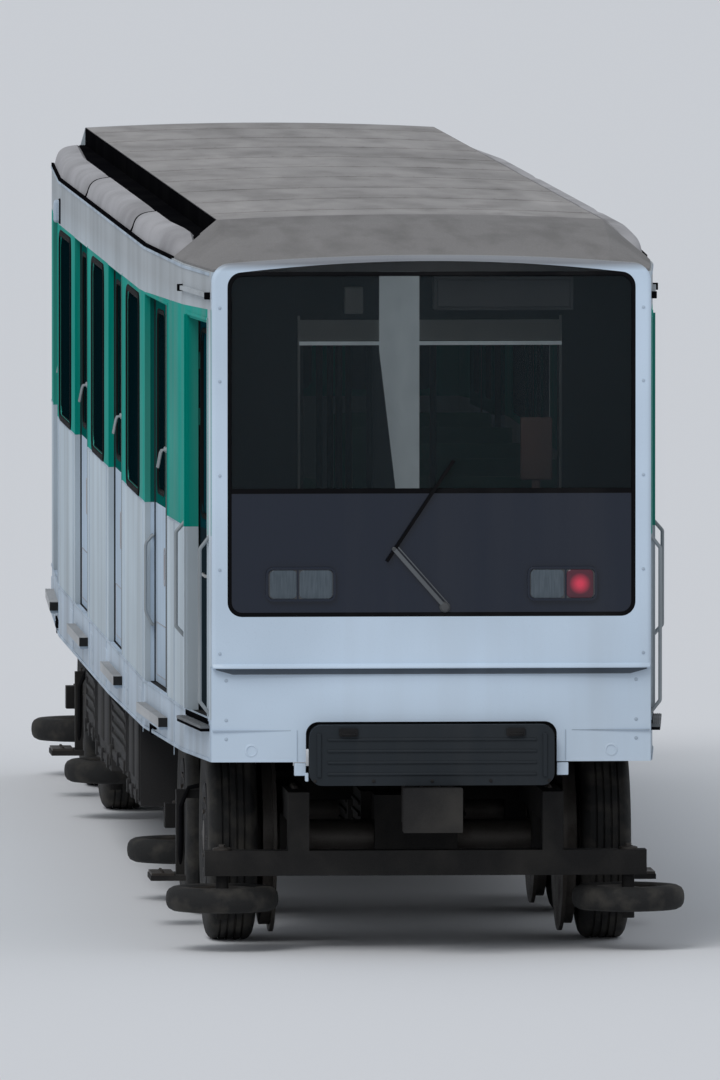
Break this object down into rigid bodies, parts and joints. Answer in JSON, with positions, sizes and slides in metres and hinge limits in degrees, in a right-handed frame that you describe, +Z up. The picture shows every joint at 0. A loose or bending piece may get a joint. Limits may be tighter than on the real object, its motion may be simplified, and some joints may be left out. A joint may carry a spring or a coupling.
{
  "type": "metro car",
  "caption": "Rubber-tyred metro driving car: hollow body with sliding side doors and cab doors, turning bogies, running tyres, steel safety wheels and guide wheels.",
  "frame": {"origin": "middle of the car over its couplers, on the surface that the tyres run on", "axes": "+X towards the cab, +Y to the car's left, +Z up"},
  "size_m": [14.88, 2.49, 3.4798],
  "materials": {
    "body_white": "satin white paint, lightly weathered",
    "door_green": "satin jade green paint",
    "roof_grey": "matt warm grey paint, dusty",
    "channel_black": "matt black",
    "fairing_grey": "dusty light grey paint",
    "front_navy": "gloss dark navy",
    "clear_glass": "dark tinted glass",
    "lamp_lens": "grey lamp lenses",
    "cover_black": "matt black plastic",
    "under_black": "dusty black paint",
    "wheel_steel": "dull steel",
    "tyre_black": "matt black rubber",
    "spring_rubber": "matt black rubber",
    "track_metal": "worn aluminium",
    "rail_steel": "brushed steel",
    "wiper_black": "matt black",
    "seat_green": "moulded plastic",
    "inner_panel": "moulded panel",
    "desk_grey": "moulded panel"
  },
  "bodies": {
    "carbody": {"underframe": "under_black", "skirts": "body_white", "side_panels_left": "body_white", "side_panels_right": "body_white", "cantrails": "body_white", "window_glass": "clear_glass", "door_tracks": "track_metal", "roof_panel": "roof_grey", "roof_channels": "channel_black", "roof_fairings": "fairing_grey", "roof_cap": "roof_grey", "cab_front": "body_white", "front_panel": "front_navy", "windscreen": "clear_glass", "apron": "body_white", "front_lamps": "lamp_lens", "coupler_cover": "cover_black", "couplers": "under_black", "rear_wall": "body_white", "wiper": "wiper_black", "hand_rails": "rail_steel", "underfloor_boxes": "under_black", "seats": "seat_green", "grab_poles": "rail_steel", "cab_partition": "inner_panel", "driver_desk": "desk_grey"},
    "doors_left_fore": {"door_leaves_left_fore": "door_green", "door_glass_left_fore": "clear_glass"},
    "doors_left_aft": {"door_leaves_left_aft": "door_green", "door_glass_left_aft": "clear_glass"},
    "doors_right_fore": {"door_leaves_right_fore": "door_green", "door_glass_right_fore": "clear_glass"},
    "doors_right_aft": {"door_leaves_right_aft": "door_green", "door_glass_right_aft": "clear_glass"},
    "cab_door_left": {"cab_door_left": "door_green"},
    "cab_door_right": {"cab_door_right": "door_green"},
    "bogie_rear": {"bogie_frame_rear": "under_black", "bogie_motors_rear": "under_black", "air_springs_rear": "spring_rubber"},
    "wheels_rear_1": {"wheelset_rear_1": "wheel_steel", "tyres_rear_1": "tyre_black"},
    "guide_rear_1_right": {"guide_wheel_rear_1_right": "tyre_black"},
    "guide_rear_1_left": {"guide_wheel_rear_1_left": "tyre_black"},
    "wheels_rear_2": {"wheelset_rear_2": "wheel_steel", "tyres_rear_2": "tyre_black"},
    "guide_rear_2_right": {"guide_wheel_rear_2_right": "tyre_black"},
    "guide_rear_2_left": {"guide_wheel_rear_2_left": "tyre_black"},
    "bogie_front": {"bogie_frame_front": "under_black", "bogie_motors_front": "under_black", "air_springs_front": "spring_rubber"},
    "wheels_front_1": {"wheelset_front_1": "wheel_steel", "tyres_front_1": "tyre_black"},
    "guide_front_1_right": {"guide_wheel_front_1_right": "tyre_black"},
    "guide_front_1_left": {"guide_wheel_front_1_left": "tyre_black"},
    "wheels_front_2": {"wheelset_front_2": "wheel_steel", "tyres_front_2": "tyre_black"},
    "guide_front_2_right": {"guide_wheel_front_2_right": "tyre_black"},
    "guide_front_2_left": {"guide_wheel_front_2_left": "tyre_black"}
  },
  "joints": [
    {"name": "doors_left_fore_slide", "type": "slide", "parent": "carbody", "child": "doors_left_fore", "axis": [1, 0, 0], "range_m": [0, 0.6]},
    {"name": "doors_left_aft_slide", "type": "slide", "parent": "carbody", "child": "doors_left_aft", "axis": [-1, 0, 0], "range_m": [0, 0.6]},
    {"name": "doors_right_fore_slide", "type": "slide", "parent": "carbody", "child": "doors_right_fore", "axis": [1, 0, 0], "range_m": [0, 0.6]},
    {"name": "doors_right_aft_slide", "type": "slide", "parent": "carbody", "child": "doors_right_aft", "axis": [-1, 0, 0], "range_m": [0, 0.6]},
    {"name": "cab_door_left_swing", "type": "hinge", "parent": "carbody", "child": "cab_door_left", "pos_m": [6.36932, 1.04234, 2.1], "axis": [0, 0, -1], "range_deg": [0, 85]},
    {"name": "cab_door_right_swing", "type": "hinge", "parent": "carbody", "child": "cab_door_right", "pos_m": [6.36932, -1.04234, 2.1], "axis": [0, 0, 1], "range_deg": [0, 85]},
    {"name": "bogie_rear_turn", "type": "hinge", "parent": "carbody", "child": "bogie_rear", "pos_m": [-5, 0, 0.7], "axis": [0, 0, 1], "range_deg": [-3.5, 3.5]},
    {"name": "wheels_rear_1_spin", "type": "hinge", "parent": "bogie_rear", "child": "wheels_rear_1", "pos_m": [-5.99, 0, 0.5], "axis": [0, 1, 0], "continuous": true},
    {"name": "guide_rear_1_right_spin", "type": "hinge", "parent": "bogie_rear", "child": "guide_rear_1_right", "pos_m": [-6.81, -0.975, 0.25], "axis": [0, 0, 1], "continuous": true},
    {"name": "guide_rear_1_left_spin", "type": "hinge", "parent": "bogie_rear", "child": "guide_rear_1_left", "pos_m": [-6.81, 0.975, 0.25], "axis": [0, 0, 1], "continuous": true},
    {"name": "wheels_rear_2_spin", "type": "hinge", "parent": "bogie_rear", "child": "wheels_rear_2", "pos_m": [-4.01, 0, 0.5], "axis": [0, 1, 0], "continuous": true},
    {"name": "guide_rear_2_right_spin", "type": "hinge", "parent": "bogie_rear", "child": "guide_rear_2_right", "pos_m": [-3.19, -0.975, 0.25], "axis": [0, 0, 1], "continuous": true},
    {"name": "guide_rear_2_left_spin", "type": "hinge", "parent": "bogie_rear", "child": "guide_rear_2_left", "pos_m": [-3.19, 0.975, 0.25], "axis": [0, 0, 1], "continuous": true},
    {"name": "bogie_front_turn", "type": "hinge", "parent": "carbody", "child": "bogie_front", "pos_m": [5, 0, 0.7], "axis": [0, 0, 1], "range_deg": [-3.5, 3.5]},
    {"name": "wheels_front_1_spin", "type": "hinge", "parent": "bogie_front", "child": "wheels_front_1", "pos_m": [4.01, 0, 0.5], "axis": [0, 1, 0], "continuous": true},
    {"name": "guide_front_1_right_spin", "type": "hinge", "parent": "bogie_front", "child": "guide_front_1_right", "pos_m": [3.19, -0.975, 0.25], "axis": [0, 0, 1], "continuous": true},
    {"name": "guide_front_1_left_spin", "type": "hinge", "parent": "bogie_front", "child": "guide_front_1_left", "pos_m": [3.19, 0.975, 0.25], "axis": [0, 0, 1], "continuous": true},
    {"name": "wheels_front_2_spin", "type": "hinge", "parent": "bogie_front", "child": "wheels_front_2", "pos_m": [5.99, 0, 0.5], "axis": [0, 1, 0], "continuous": true},
    {"name": "guide_front_2_right_spin", "type": "hinge", "parent": "bogie_front", "child": "guide_front_2_right", "pos_m": [6.81, -0.975, 0.25], "axis": [0, 0, 1], "continuous": true},
    {"name": "guide_front_2_left_spin", "type": "hinge", "parent": "bogie_front", "child": "guide_front_2_left", "pos_m": [6.81, 0.975, 0.25], "axis": [0, 0, 1], "continuous": true}
  ],
  "couplings": [
    {"joint": "doors_left_aft_slide", "follows": "doors_left_fore_slide", "ratio": 1},
    {"joint": "doors_right_aft_slide", "follows": "doors_right_fore_slide", "ratio": 1}
  ]
}
